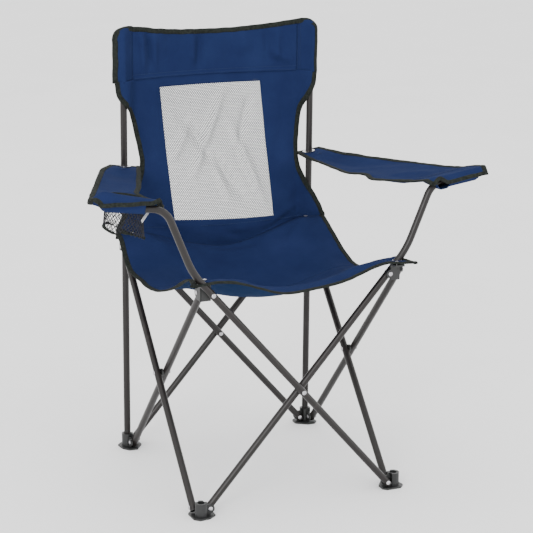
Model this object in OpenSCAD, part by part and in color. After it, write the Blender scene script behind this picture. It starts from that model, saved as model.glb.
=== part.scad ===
// Folding camp chair: a four-sided scissor frame of steel tube that closes to a narrow bundle,
// two rear posts that hold the back, two bent tubes that carry the armrests, and fabric between.
// +X is the sitter's left, -Y is the front, +Z is up. The origin is on the floor, under the middle.

/* [Frame] */
// Half of the distance between the rivets of one crossed pair, at the feet and at the hubs
pin_half = 176; // [150:1:190]
// Distance of the rear posts, and of each crossed pair's plane, from the middle of the chair
corner = 194; // [170:1:210]
// Height of the rivets in the feet
foot_pin_h = 14; // [13.5:0.5:20]
// Height of the rivets in the hubs when the chair is open
hub_pin_h = 414; // [380:1:420]
// Height of the top of the rear posts
post_top = 820; // [780:1:830]

/* [Tube] */
// Outer diameter of every tube
tube_d = 13; // [12:0.5:14]
// Wall of every tube
tube_wall = 1; // [0.8:0.1:1.5]
// Distance from a crossed pair's plane to the middle of each of its tubes
pair_gap = 8.5; // [8.5:0.1:9]
// Length of tube past its last rivet
tube_over = 6; // [5:0.5:6]

/* [Arm posts] */
// Straight run above the front hub
arm_run_low = 30; // [25:1:40]
// Radius of the bend towards upright
arm_bend_low = 150; // [100:5:180]
// Lean of the arm post from upright, in degrees
arm_lean = 22.5; // [18:0.5:26]
// Straight run between the two bends
arm_run_mid = 80; // [70:1:90]
// Radius of the bend below the armrest
arm_bend_top = 40; // [32:1:50]
// Rise of the armrest towards its outer edge, in degrees
arm_rise = 8; // [5:0.5:12]
// Length of the tube end inside the armrest
arm_run_end = 80; // [70:1:95]

/* [Fittings] */
// Rivet diameter
rivet_d = 4; // [3:0.5:5]
// Rivet head diameter
rivet_head_d = 8; // [7:0.5:9]
// Radial play of a hinge on its rivet
play = 0.05; // [0.03:0.01:0.1]
// Thickness of the moulded ears that the tubes are riveted to
ear_t = 3.4; // [3:0.1:3.4]
// Height of a foot
foot_h = 28; // [24:1:32]
// Outer diameter of the socket in a foot, and of the sliding hub round a post
socket_d = 22; // [20:1:24]

/* [Fabric] */
// Thickness of the seat, back and mesh
cloth_t = 3; // [2:0.5:4]
// Thickness of the armrest pads
pad_t = 5; // [4:0.5:6]
// Sag of the seat's front edge below its corners
sag_front = 33; // [20:1:40]
// Sag of the seat's sides below its corners
sag_side = 58; // [40:1:65]
// How far the middle of the back lies behind its sides at the top
bow_top = 35; // [20:1:45]
// How far the middle of the back lies in front of its sides at the seat
bow_low = 40; // [20:1:45]
// Lower edge of the double band along the top of the back
band_low = 726; // [700:1:740]
// Top edge of the back at the posts
back_top = 829; // [825:1:840]

/* [Cup holder] */
// Outer diameter of the net
cup_d = 78; // [70:1:84]
// Depth of the net below the armrest
cup_depth = 62; // [50:1:80]

/* [Hidden] */
$fn = 48;
tiny = 0.01;
// The back bows out behind, so the frame's middle lies a little in front of the chair's middle
mid_y = -10.5;
// Lean of the scissor tubes from upright, and the length between their end rivets
rise = hub_pin_h - foot_pin_h;
lean = atan(2 * pin_half / rise);
span = sqrt(pow(2 * pin_half, 2) + pow(rise, 2));
mid_pin_h = (foot_pin_h + hub_pin_h) / 2;
pin_in = corner - pin_half;
bore_d = rivet_d + 2 * play;
snug = 0.02;
clear = 0.3;
head_h = 1.8;
plug_t = 1;
// Feet and hubs
foot_floor = 3.5;
ear_r = 8;
slot_w = 17;
hub_low = hub_pin_h - 12;
tab_t = 3.5;
tab_gap = 0.8;
post_low = 5;
post_bore = tube_d + 2 * clear;
seat_rivet_in = 11;
// The seat: the height of its corners, and how far its front edge and its sides sag
seat_corner_z = 436;
seat_half_w = 203;
seat_front_y = -205;
seat_rear_y = 163;
tab_top = seat_corner_z - cloth_t / 2 - tab_gap;
// The back hangs just behind the posts
back_y = corner + 9;
band_half_w = corner - 14.6;
// Where the arm post ends: its runs and bends, added up from the hub rivet
low_x = pin_half + arm_run_low * sin(lean) + arm_bend_low * (cos(arm_lean) - cos(lean));
low_z = hub_pin_h + arm_run_low * cos(lean) + arm_bend_low * (sin(lean) - sin(arm_lean));
top_x = low_x + arm_run_mid * sin(arm_lean);
top_z = low_z + arm_run_mid * cos(arm_lean);
end_lean = 90 - arm_rise;
sleeve_x = top_x + arm_bend_top * (cos(arm_lean) - cos(end_lean));
sleeve_z = top_z + arm_bend_top * (sin(end_lean) - sin(arm_lean));
arm_runs = [
    [span + tube_over + arm_run_low, arm_bend_low, arm_lean - lean],
    [arm_run_mid, arm_bend_top, end_lean - arm_lean],
    [arm_run_end, 0, 0]
];
bend_key = 0.4;
bend_swell = 0.03;
// Armrest
sleeve_wall = 2;
sleeve_in = 1;
pad_rear = corner + 17;
eyelet_d = 17;
eyelet_bore = 15;
eyelet_flange_d = 24;
eyelet_flange_t = 0.8;
// Cup holder
cup_x = 24;
cup_y = 76;
cup_wall = 2;
cup_rim_t = 2;
// Colours
tube_colour = "#46403f";
plastic_colour = "#1c1d1e";
rivet_colour = "#d9d9dc";
cloth_colour = "#21386f";
mesh_colour = "#c9ccd4";
net_colour = "#141518";

// ---- placing ----

// The four sides are alike: 0 front, 1 left, 2 rear, 3 right, each a quarter turn on
module on_side(side) {
    translate([0, mid_y, 0]) rotate([0, 0, 90 * side]) children();
}

// The four corners are alike too: 0 front right, 1 front left, 2 rear left, 3 rear right.
// Inside, +x and +y run from the corner along the two sides that meet there.
module at_corner(index) {
    translate([0, mid_y, 0]) rotate([0, 0, 90 * index]) translate([-corner, -corner, 0])
        children();
}

// Along a scissor tube of one side, with the origin at its middle rivet and +z up the tube
module along_tube(side, outer) {
    way = outer ? -1 : 1;
    on_side(side)
        translate([0, -corner + way * pair_gap, mid_pin_h])
            rotate([0, way * lean, 0]) children();
}

// ---- shared shapes ----

// A bore through both walls of a tube, at height z along it
module rivet_bore(z) {
    translate([0, tube_d, z]) rotate([90, 0, 0]) cylinder(d = bore_d, h = 2 * tube_d);
}

// A rivet along +y from y = 0, with a low domed head at each end
module rivet(grip) {
    rotate([-90, 0, 0]) {
        translate([0, 0, -tiny]) cylinder(d = rivet_d, h = grip + 2 * tiny);
        translate([0, 0, grip]) rivet_head();
        mirror([0, 0, 1]) rivet_head();
    }
}

// The head is the cap of a ball on a short rim
module rivet_head() {
    rim = 0.5;
    cap = head_h - rim;
    ball_r = (pow(rivet_head_d / 2, 2) + pow(cap, 2)) / (2 * cap);
    cylinder(d = rivet_head_d, h = rim);
    intersection() {
        translate([0, 0, head_h - ball_r]) sphere(r = ball_r);
        translate([0, 0, rim - tiny]) cylinder(d = rivet_head_d, h = head_h);
    }
}

// A closed end for a tube: a short shank inside and a thin disc outside, pointing up
module plug() {
    shank = 3;
    translate([0, 0, -shank]) cylinder(d = tube_d - 2 * tube_wall - 2 * snug, h = shank + tiny);
    cylinder(d = tube_d, h = plug_t);
}

// ---- scissor tubes ----

module scissor_tube(side, outer) {
    length = span + 2 * tube_over;
    color(tube_colour) along_tube(side, outer) difference() {
        cylinder(d = tube_d, h = length, center = true);
        cylinder(d = tube_d - 2 * tube_wall, h = length + 2, center = true);
        for (z = [-span / 2, 0, span / 2]) rivet_bore(z);
    }
}

module scissor_plugs(side, outer) {
    color(plastic_colour) along_tube(side, outer)
        for (end = [0, 1]) mirror([0, 0, end]) translate([0, 0, span / 2 + tube_over]) plug();
}

// The rivet through the middle of a crossed pair
module cross_rivet(side) {
    grip = 2 * pair_gap + tube_d;
    color(rivet_colour) on_side(side)
        translate([0, -corner - grip / 2, mid_pin_h]) rivet(grip + clear);
}

// The nylon washer that keeps the two tubes of a pair apart; it bears on the outer tube
module cross_spacer(side) {
    gap = 2 * pair_gap - tube_d;
    color(plastic_colour) on_side(side)
        translate([0, -corner - gap / 2, mid_pin_h]) rotate([-90, 0, 0]) difference() {
            cylinder(d = tube_d + 1, h = gap - clear);
            translate([0, 0, -1]) cylinder(d = rivet_d + 2 * snug, h = gap + 2);
        }
}

// ---- arm tubes ----

// The cross-section of a tube; in a bend both walls swell a little
module tube_section(more = 0) {
    difference() {
        circle(d = tube_d + 2 * more);
        circle(d = tube_d - 2 * tube_wall - 2 * more);
    }
}

// A tube that starts up +z and follows runs of [length, bend radius, bend angle towards +x].
// Each straight run keys a little way into the bends next to it.
module bent_tube(runs, i = 0) {
    run = runs[i];
    radius = run[1];
    turn = run[2];
    start = i == 0 ? 0 : bend_key;
    end = i == len(runs) - 1 ? 0 : bend_key;
    translate([0, 0, -start]) linear_extrude(run[0] + start + end) tube_section();
    if (i < len(runs) - 1)
        translate([0, 0, run[0]]) {
            mirror([turn < 0 ? 1 : 0, 0, 0]) translate([radius, 0, 0]) rotate([90, 0, 180])
                rotate_extrude(angle = abs(turn)) translate([radius, 0])
                    tube_section(bend_swell);
            translate([sign(turn) * radius * (1 - cos(turn)), 0, radius * sin(abs(turn))])
                rotate([0, turn, 0]) bent_tube(runs, i + 1);
        }
}

// The left arm tube is the inner one of the front pair, and the right one is its mirror image
// in the outer place
module arm_place(left) {
    mirror([left ? 0 : 1, 0, 0])
        translate([0, mid_y - corner + (left ? pair_gap : -pair_gap), 0]) children();
}

module arm_tube(left) {
    color(tube_colour) arm_place(left)
        translate([-pin_half, 0, foot_pin_h]) rotate([0, lean, 0]) difference() {
            translate([0, 0, -tube_over]) bent_tube(arm_runs);
            for (z = [0, span / 2, span]) rivet_bore(z);
        }
}

module arm_plugs(left) {
    color(plastic_colour) arm_place(left) {
        translate([-pin_half, 0, foot_pin_h]) rotate([0, 180 + lean, 0])
            translate([0, 0, tube_over]) plug();
        along_sleeve() translate([0, 0, arm_run_end]) plug();
    }
}

// The level end of an arm tube, with the origin where its last bend ends and +z along it
module along_sleeve() {
    translate([sleeve_x, 0, sleeve_z]) rotate([0, end_lean, 0]) children();
}

// ---- feet and hubs ----

// An ear in the plane y = 0: a round end on the pin, and a web back to the corner
module ear(pin_h, low, high) {
    translate([0, ear_t / 2, 0]) rotate([90, 0, 0]) linear_extrude(ear_t) {
        translate([pin_in, pin_h]) circle(r = ear_r);
        translate([0, low]) square([pin_in, high - low]);
    }
}

// Two ears at right angles, one for the tube along +x and one for the tube along +y
module ears(pin_h, low, high_x, high_y) {
    ear(pin_h, low, high_x);
    mirror([1, -1, 0]) ear(pin_h, low, high_y);
}

// Room for the two tubes: along +x on one side of its ear, along +y on the other side of its ear.
// In a foot the tube along +x is inside its ear, and in a hub it is outside.
module tube_slots(inside, low, high) {
    start = 6.8;
    reach = 40;
    way = inside ? 1 : -1;
    translate([start, way > 0 ? ear_t / 2 : -ear_t / 2 - slot_w, low])
        cube([reach, slot_w, high - low]);
    translate([way > 0 ? -ear_t / 2 - slot_w : ear_t / 2, start, low])
        cube([slot_w, reach, high - low]);
}

// Bores for the pins through both ears
module ear_bores(pin_h) {
    for (turn = [0, 1]) mirror([turn, -turn, 0])
        translate([pin_in, ear_t, pin_h]) rotate([90, 0, 0])
            cylinder(d = rivet_d + 2 * snug, h = 2 * ear_t);
}

// A pair of rivets through the ears and the tubes beside them. In a foot the tube along +x is
// inside its ear and the other tube outside, and in a hub the other way round.
module ear_rivets(pin_h, inside) {
    grip = ear_t / 2 + pair_gap + tube_d / 2 + clear;
    for (turn = [0, 1]) mirror([turn, -turn, 0]) {
        start = (turn == 0) == inside ? -ear_t / 2 : ear_t / 2 - grip;
        translate([pin_in, start, pin_h]) rivet(grip);
    }
}

// A foot: a many-sided sole, a socket and two ears
module foot(index) {
    sole = [
        [-17, -8], [-8, -17], [12, -15], [26, -5], [27, 12], [18, 18],
        [6, 27], [-10, 27], [-17, 20]
    ];
    color(plastic_colour) at_corner(index) difference() {
        union() {
            linear_extrude(foot_floor) polygon(sole);
            cylinder(d = socket_d, h = foot_h);
            ears(foot_pin_h, 0, foot_h - 5, foot_h - 5);
        }
        translate([0, 0, post_low]) cylinder(d = tube_d + 2 * snug, h = foot_h);
        tube_slots(true, foot_floor, foot_h + 1);
        ear_bores(foot_pin_h);
    }
}

module foot_rivets(index) {
    color(rivet_colour) at_corner(index) ear_rivets(foot_pin_h, true);
}

// The shape that all hubs share: two ears, and a tab that the corner of the seat is riveted to.
// The tab lies between the ears, or in front of them where an arm post fills that corner and
// passes over the other ear, which is lower there.
module hub_base(tab_out) {
    ears(hub_pin_h, hub_low, tab_out ? hub_pin_h + ear_r : tab_top, tab_top);
    reach = pin_in + ear_t / 2;
    translate([tab_out ? ear_t / 2 - reach : -ear_t / 2, -ear_t / 2, tab_top - tab_t])
        cube([reach, reach, tab_t]);
}

module hub_bores(tab_out) {
    ear_bores(hub_pin_h);
    translate([tab_out ? -seat_rivet_in : seat_rivet_in, seat_rivet_in, tab_top - 2 * tab_t])
        cylinder(d = rivet_d + 2 * snug, h = 4 * tab_t);
}

// The front hub is an angle bracket
module front_hub(index, tab_out) {
    color(plastic_colour) at_corner(index) difference() {
        hub_base(tab_out);
        hub_bores(tab_out);
    }
}

// The rear hub slides up and down its post
module slider_hub(index) {
    color(plastic_colour) at_corner(index) difference() {
        union() {
            hub_base(false);
            translate([0, 0, hub_low]) cylinder(d = socket_d, h = tab_top - hub_low);
        }
        translate([0, 0, hub_low - 1]) cylinder(d = post_bore, h = tab_top - hub_low + 2);
        tube_slots(false, hub_low - 1, tab_top - tab_t);
        hub_bores(false);
    }
}

// Two rivets for the tubes and one upright rivet that holds the seat down
module hub_rivets(index, tab_out) {
    grip = tab_t + cloth_t + tab_gap + clear;
    color(rivet_colour) at_corner(index) {
        ear_rivets(hub_pin_h, false);
        translate([tab_out ? -seat_rivet_in : seat_rivet_in, seat_rivet_in, tab_top - tab_t])
            rotate([90, 0, 0]) rivet(grip);
    }
}

// ---- rear posts ----

module post(index) {
    color(tube_colour) at_corner(index) translate([0, 0, post_low]) difference() {
        cylinder(d = tube_d, h = post_top - post_low);
        translate([0, 0, -1]) cylinder(d = tube_d - 2 * tube_wall, h = post_top);
    }
}

module post_cap(index) {
    color(plastic_colour) at_corner(index) translate([0, 0, post_top]) plug();
}

// ---- fabric ----

// How much of a sag is left at a distance from the middle, from 1 there to 0 at the reach
function slack(distance, reach) = pow(max(0, 1 - pow(distance / reach, 2)), 1.5);

// Height of the seat
function seat_z(x, y) =
    seat_corner_z - sag_front * slack(x, 168) - sag_side * slack(y, 170);

// Half width of the seat: it flares towards its corners
function seat_w(y) = seat_half_w + 18 * pow(abs(y) / 205, 4);

// The seat's front and rear edges: the front corners reach forward, and the rear edge curves
// forward in the middle, where the back begins
function seat_front(x) = seat_front_y - 10 * pow(abs(x) / 205, 4);
function seat_rear(x) = seat_rear_y + 25 * pow(min(abs(x), 185) / 185, 2);

// A point of the seat: u runs across from -1 to 1, v from the middle (0) to an edge (1)
function seat_point(u, v, front) =
    let (
        edge = front ? seat_front_y : seat_rear_y,
        x = u * seat_w(v * edge),
        y = v * (front ? seat_front(x) : seat_rear(x)) + (front ? -clear : clear) * (1 - v)
    )
    [x, y, seat_z(x, y)];

// The back's middle lies in front of its sides at the seat and behind them at the top
function back_bow(z) =
    let (t = max(0, min(1, (z - 430) / (back_top - 430))))
    (bow_top + bow_low) * sin(90 * t) - bow_low;
function back_depth(x, z) =
    back_y + back_bow(z) * max(0, 1 - pow(x / (corner - 9), 2));

// Half width of the back below the band, at a few heights
waist = [
    [410, 220], [455, 222], [485, 202], [517, 180], [560, 168], [620, 171], [672, 184],
    [700, 202], [725, 206]
];
back_low_gap = 4;
function back_low(x) = seat_z(x, seat_rear(x)) + back_low_gap;

// A point of the back below the band: u across, v from the bottom to the band
function back_point(u, v) =
    let (
        guess = back_low(0) + v * (band_low - 1 - back_low(0)),
        x = u * lookup(guess, waist),
        z = back_low(x) + v * (band_low - 1 - back_low(x))
    )
    [x, back_depth(x, z), z];

// A point of the band: its top edge dips in the middle
top_dip = 17;
function band_point(u, v) =
    let (
        x = u * band_half_w,
        top = back_top - top_dip * (1 - u * u),
        z = band_low + v * (top - band_low)
    )
    [x, back_depth(x, z), z];

// A point of the mesh window
mesh_w = 105;
mesh_low = 455;
mesh_top = 708;
function mesh_point(u, v) =
    let (
        x = u * (mesh_w - clear),
        z = mesh_low + clear + v * (mesh_top - mesh_low - 2 * clear)
    )
    [x, back_depth(x, z), z];

// A point lifted off a surface along its normal
function lifted(f, u, v, lift) =
    let (
        step = 0.01,
        across = f(u + step, v) - f(u - step, v),
        along = f(u, v + step) - f(u, v - step),
        normal = cross(across, along)
    )
    f(u, v) + lift * normal / norm(normal);

// A sheet of cloth: a surface f(u, v), u from -1 to 1 and v from 0 to 1, given a thickness
module cloth(f, thick, cells_u = 24, cells_v = 12) {
    wide = cells_u + 1;
    count = wide * (cells_v + 1);
    points = [
        for (side = [1, -1]) for (j = [0:cells_v]) for (i = [0:cells_u])
            lifted(f, 2 * i / cells_u - 1, j / cells_v, side * thick / 2)
    ];
    front = [
        for (j = [0:cells_v - 1]) for (i = [0:cells_u - 1])
            let (a = j * wide + i)
            each [[a, a + wide, a + 1], [a + 1, a + wide, a + wide + 1]]
    ];
    back = [for (face = front) [face[2] + count, face[1] + count, face[0] + count]];
    rim = concat(
        [for (i = [0:cells_u]) i],
        [for (j = [1:cells_v]) j * wide + cells_u],
        [for (i = [1:cells_u]) cells_v * wide + cells_u - i],
        [for (j = [1:cells_v - 1]) (cells_v - j) * wide]
    );
    last = len(rim);
    hem = [
        for (k = [0:last - 1])
            let (a = rim[k], b = rim[(k + 1) % last])
            each [[a, b, a + count], [b, b + count, a + count]]
    ];
    polyhedron(points, concat(front, back, hem));
}

// One half of the seat, with openings for the posts that pass it and for its two rivets
module seat_half(front, post_places, rivet_places) {
    color(cloth_colour) translate([0, mid_y, 0]) difference() {
        cloth(function(u, v) seat_point(front ? -u : u, v, front), cloth_t);
        for (place = post_places) translate([place[0], place[1], 400]) cylinder(d = 26, h = 80);
        for (place = rivet_places)
            translate([place[0], place[1], 400]) cylinder(d = rivet_d + 1, h = 80);
    }
}

module seat_front_panel() {
    post_x = pin_half + (seat_corner_z - hub_pin_h) * tan(lean);
    near = corner - seat_rivet_in;
    seat_half(true, [
        [post_x, -corner + pair_gap], [-post_x, -corner - pair_gap]
    ], [
        [near, -corner - seat_rivet_in], [-near, -near]
    ]);
}

module seat_rear_panel() {
    near = corner - seat_rivet_in;
    seat_half(false, [[corner, corner], [-corner, corner]], [[near, near], [-near, near]]);
}

module back_panel() {
    color(cloth_colour) translate([0, mid_y, 0]) difference() {
        cloth(function(u, v) back_point(u, v), cloth_t, 24, 16);
        translate([-mesh_w, 0, mesh_low]) cube([2 * mesh_w, 2 * corner, mesh_top - mesh_low]);
    }
}

module back_band() {
    color(cloth_colour) translate([0, mid_y, 0])
        cloth(function(u, v) band_point(u, v), cloth_t, 20, 4);
}

module back_mesh() {
    color(mesh_colour) translate([0, mid_y, 0])
        cloth(function(u, v) mesh_point(u, v), cloth_t / 2, 12, 8);
}

// The pocket at each end of the band that slips over the top of a post, with the stitched tail
// where it meets the band
module back_pocket(left) {
    pocket_d = 20;
    roof = post_top + plug_t + 2;
    depth = 3;
    tail = corner - band_half_w - pocket_d / 2 + depth - clear;
    color(cloth_colour) mirror([left ? 0 : 1, 0, 0])
        translate([corner, mid_y + corner, band_low]) difference() {
            union() {
                cylinder(d = pocket_d, h = back_top - band_low);
                translate([depth - pocket_d / 2 - tail, pocket_d / 2 - depth, 0])
                    cube([tail + depth, depth, back_top - band_low]);
            }
            translate([0, 0, -1]) cylinder(d = tube_d + 1.4, h = roof - band_low + 1);
        }
}

// ---- armrests ----

// The plane of an armrest: x runs outwards along the sleeve, y back to the post
module armrest_place(left) {
    arm_place(left) translate([sleeve_x, 0, sleeve_z]) rotate([0, -arm_rise, 0]) children();
}

// Distance from the sleeve back to the middle of the post
function post_back(left) = 2 * corner + (left ? -pair_gap : pair_gap);

// Where the post passes the armrest, measured from the inner end of the sleeve
eyelet_x = (corner - sleeve_x) / cos(arm_rise);

// The outline of an armrest, from the sleeve back past the post
module armrest_outline(rear) {
    end = rear + 17;
    polygon([
        [sleeve_in, 7.5], [arm_run_end - sleeve_in, 7.5], [104, 12],
        [80, 50], [52, 112], [15, 200], [-24, 290], [-58, end], [-110, end], [-111, end - 60],
        [-108, 250], [-99, 120], [-88, 60], [-60, 22], [-20, 10]
    ]);
}

// The pouch of the right armrest stands up loosely over its tube
module pouch() {
    translate([sleeve_in, 0, 0]) rotate([90, 0, 90]) linear_extrude(arm_run_end - 2 * sleeve_in)
        polygon([[-12, -5], [-12, 6], [-4, 18], [4, 18], [16, 8], [34, 1], [34, -2], [8, -7]]);
}

module armrest(left) {
    rear = post_back(left);
    sleeve_d = tube_d + 2 * clear + 2 * sleeve_wall;
    color(cloth_colour) armrest_place(left) difference() {
        union() {
            translate([0, 0, -pad_t / 2]) linear_extrude(pad_t) armrest_outline(rear);
            translate([sleeve_in, 0, 0]) rotate([0, 90, 0])
                cylinder(d = sleeve_d, h = arm_run_end - 2 * sleeve_in);
            if (!left) pouch();
        }
        translate([-1, 0, 0]) rotate([0, 90, 0])
            cylinder(d = tube_d + 2 * clear, h = arm_run_end + 2);
        translate([eyelet_x, rear, -pad_t]) cylinder(d = eyelet_d + 2 * clear, h = 2 * pad_t);
        if (!left) translate([cup_x, cup_y, -pad_t]) cylinder(d = cup_d - 8, h = 2 * pad_t);
    }
}

// A pressed metal eyelet that runs on the post
module armrest_eyelet(left) {
    half = pad_t / 2 + clear;
    color(rivet_colour) armrest_place(left) translate([eyelet_x, post_back(left), 0])
        difference() {
            union() {
                cylinder(d = eyelet_d, h = 2 * half, center = true);
                for (way = [-1, 1]) translate([0, 0, way * (half + eyelet_flange_t / 2)])
                    cylinder(d = eyelet_flange_d, h = eyelet_flange_t, center = true);
            }
            cylinder(d = eyelet_bore, h = 4 * half, center = true);
        }
}

// ---- cup holder ----

// The net hangs from a hole in the right armrest
module cup_net() {
    color(net_colour) armrest_place(false) translate([cup_x, cup_y, -pad_t / 2]) difference() {
        union() {
            translate([0, 0, -cup_depth]) cylinder(d = cup_d - 6, h = cup_depth);
            translate([0, 0, -cup_wall]) cylinder(d = cup_d, h = cup_wall);
        }
        translate([0, 0, -cup_depth + cup_wall])
            cylinder(d = cup_d - 6 - 2 * cup_wall, h = cup_depth);
    }
}

module cup_rim() {
    color(net_colour) armrest_place(false) translate([cup_x, cup_y, pad_t / 2]) difference() {
        cylinder(d = cup_d + 2, h = cup_rim_t);
        translate([0, 0, -1]) cylinder(d = cup_d - 8, h = cup_rim_t + 2);
    }
}

foot(1);  // foot_front_left
foot(0);  // foot_front_right
foot(2);  // foot_rear_left
foot(3);  // foot_rear_right
foot_rivets(1);  // foot_rivets_front_left
foot_rivets(0);  // foot_rivets_front_right
foot_rivets(2);  // foot_rivets_rear_left
foot_rivets(3);  // foot_rivets_rear_right
post(2);  // post_left
post(3);  // post_right
post_cap(2);  // post_cap_left
post_cap(3);  // post_cap_right
slider_hub(2);  // slider_hub_left
slider_hub(3);  // slider_hub_right
front_hub(1, true);  // front_hub_left
front_hub(0, false);  // front_hub_right
hub_rivets(2, false);  // hub_rivets_rear_left
hub_rivets(3, false);  // hub_rivets_rear_right
hub_rivets(1, true);  // hub_rivets_front_left
hub_rivets(0, false);  // hub_rivets_front_right
scissor_tube(2, true);  // rear_tube_outer
scissor_tube(2, false);  // rear_tube_inner
scissor_tube(1, true);  // left_tube_outer
scissor_tube(1, false);  // left_tube_inner
scissor_tube(3, true);  // right_tube_outer
scissor_tube(3, false);  // right_tube_inner
arm_tube(true);  // arm_tube_left
arm_tube(false);  // arm_tube_right
scissor_plugs(2, true);  // rear_outer_plugs
scissor_plugs(2, false);  // rear_inner_plugs
scissor_plugs(1, true);  // left_outer_plugs
scissor_plugs(1, false);  // left_inner_plugs
scissor_plugs(3, true);  // right_outer_plugs
scissor_plugs(3, false);  // right_inner_plugs
arm_plugs(true);  // arm_left_plugs
arm_plugs(false);  // arm_right_plugs
cross_rivet(2);  // rear_cross_rivet
cross_rivet(1);  // left_cross_rivet
cross_rivet(3);  // right_cross_rivet
cross_rivet(0);  // front_cross_rivet
cross_spacer(2);  // rear_cross_spacer
cross_spacer(1);  // left_cross_spacer
cross_spacer(3);  // right_cross_spacer
cross_spacer(0);  // front_cross_spacer
seat_front_panel();
seat_rear_panel();
back_panel();
back_mesh();
back_band();
back_pocket(true);  // back_pocket_left
back_pocket(false);  // back_pocket_right
armrest(true);  // armrest_left
armrest(false);  // armrest_right
armrest_eyelet(true);  // armrest_eyelet_left
armrest_eyelet(false);  // armrest_eyelet_right
cup_net();
cup_rim();
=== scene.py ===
import math
import bpy
import numpy as np
from mathutils import Matrix, Vector, noise


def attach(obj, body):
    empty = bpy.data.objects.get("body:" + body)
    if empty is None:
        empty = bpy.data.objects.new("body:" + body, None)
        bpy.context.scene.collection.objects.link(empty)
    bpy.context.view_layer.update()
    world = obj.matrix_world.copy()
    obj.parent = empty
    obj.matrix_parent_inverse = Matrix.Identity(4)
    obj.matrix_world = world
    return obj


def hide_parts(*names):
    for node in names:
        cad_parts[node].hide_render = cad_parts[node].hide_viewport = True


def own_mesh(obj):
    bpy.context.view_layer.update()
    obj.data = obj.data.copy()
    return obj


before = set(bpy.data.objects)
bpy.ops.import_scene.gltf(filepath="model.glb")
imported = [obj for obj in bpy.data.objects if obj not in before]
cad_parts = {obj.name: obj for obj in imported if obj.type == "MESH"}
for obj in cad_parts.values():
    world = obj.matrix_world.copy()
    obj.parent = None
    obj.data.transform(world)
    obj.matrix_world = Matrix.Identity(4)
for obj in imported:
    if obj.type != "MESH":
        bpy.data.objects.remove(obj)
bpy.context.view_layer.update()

# ---------------------------------------------------------------- camera

cam_data = bpy.data.cameras.new("camera")
cam_data.sensor_width = 36.0
cam_data.lens = 120.86
cam_data.clip_end = 60.0
camera = bpy.data.objects.new("camera", cam_data)
bpy.context.scene.collection.objects.link(camera)
bpy.context.scene.camera = camera
right = Vector((0.91310198, -0.40763064, 0.00905763))
up = Vector((0.09800609, 0.24099094, 0.96556624))
ahead = Vector((0.39577719, 0.88077275, -0.25999959))
turn = Matrix((right, up, -ahead)).transposed().to_4x4()
camera.matrix_world = Matrix.Translation((-1.31119, -2.96645, 1.26794)) @ turn

# ---------------------------------------------------------------- sizes, in millimetres

MID = -10.5          # the frame's middle in y
POST = 194.0         # the posts' distance from the middle
SEAM_X = 171.0       # the seam beside each pocket
BAND_LOW = 726.0
MESH_W, MESH_LOW, MESH_TOP = 105.0, 455.0, 708.0
SLEEVE_X, SLEEVE_Z = 283.797, 576.427
RISE = math.radians(8)
ARM_Y = {"left": MID - 185.5, "right": MID - 202.5}
ARM_REAR = {"left": 379.5, "right": 396.5}
CLOTH = 1.4


def slack(distance, reach):
    return np.maximum(0, 1 - (distance / reach) ** 2) ** 1.5


def step(low, high, value):
    t = np.clip((value - low) / (high - low), 0, 1)
    return t * t * (3 - 2 * t)


def seat_z(x, y):
    """The sag of the seat; it hangs fuller on its right side, toward the rear."""
    fuller = 22 * np.exp(-((y - 112) / 46) ** 2) * step(60, 200, -x) * (1 - step(145, 178, y))
    return 436 - 33 * slack(x, 168) - 58 * slack(y, 170) - fuller


SEAT_Y = [-215, -190, -120, -55, 0, 85, 135, 163, 190]
SEAT_LEFT = [222, 213, 206, 206, 211, 215, 217, 221, 225]
SEAT_RIGHT = [222, 213, 206, 210, 217, 219, 217, 215, 213]


def seat_w(y, left):
    return np.where(left, smooth_table(SEAT_Y, SEAT_LEFT, y), smooth_table(SEAT_Y, SEAT_RIGHT, y))


def seat_front(x):
    return -205 - 10 * (np.abs(x) / 205) ** 4


def seat_rear(x):
    return 163 + 25 * (np.minimum(np.abs(x), 185) / 185) ** 2


def back_bow(z):
    t = np.clip((z - 430) / 399, 0, 1)
    return 75 * np.sin(math.pi / 2 * t) - 40


def back_y(x, z):
    """The back's front layer: it bows between the posts and passes in front of them."""
    side = np.abs(x)
    in_front = step(165, 192, side) * (step(640, 676, z) + 1 - step(505, 560, z))
    return 203 + back_bow(z) * np.maximum(0, 1 - (x / 185) ** 2) - 18.5 * in_front


WAIST_Z = [410, 440, 462, 485, 517, 560, 620, 672, 700, 725]
WAIST_W = [219, 219, 212, 199, 178, 166, 170, 184, 204, 208]
PULLED = [6, 6, 6, 6, 7, 7.5, 4, 0, -5, -5]    # how far it is pulled toward the sitter's left


def smooth_table(xs, ys, at):
    """A smooth curve through a short table."""
    xs, ys, at = np.asarray(xs, float), np.asarray(ys, float), np.asarray(at, float)
    slope = np.gradient(ys, xs)
    i = np.clip(np.searchsorted(xs, at) - 1, 0, len(xs) - 2)
    h = xs[i + 1] - xs[i]
    t = np.clip((at - xs[i]) / h, 0, 1)
    a, b = ys[i], ys[i + 1]
    ma, mb = slope[i] * h, slope[i + 1] * h
    return ((2 * t**3 - 3 * t**2 + 1) * a + (t**3 - 2 * t**2 + t) * ma
            + (3 * t**2 - 2 * t**3) * b + (t**3 - t**2) * mb)


# ---------------------------------------------------------------- materials

def new_material(name):
    mat = bpy.data.materials.new(name)
    mat.use_nodes = True
    nodes, links = mat.node_tree.nodes, mat.node_tree.links
    return mat, nodes, links, nodes["Principled BSDF"]


def add(nodes, kind, **values):
    node = nodes.new(kind)
    for key, value in values.items():
        if key in node.inputs:
            node.inputs[key].default_value = value
        else:
            setattr(node, key, value)
    return node


def ramp(nodes, links, source, stops):
    node = nodes.new("ShaderNodeValToRGB")
    marks = node.color_ramp.elements
    while len(marks) < len(stops):
        marks.new(0.5)
    for mark, (at, colour) in zip(marks, stops):
        mark.position = at
        mark.color = (*colour, 1)
    links.new(source, node.inputs["Fac"])
    return node.outputs["Color"]


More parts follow.
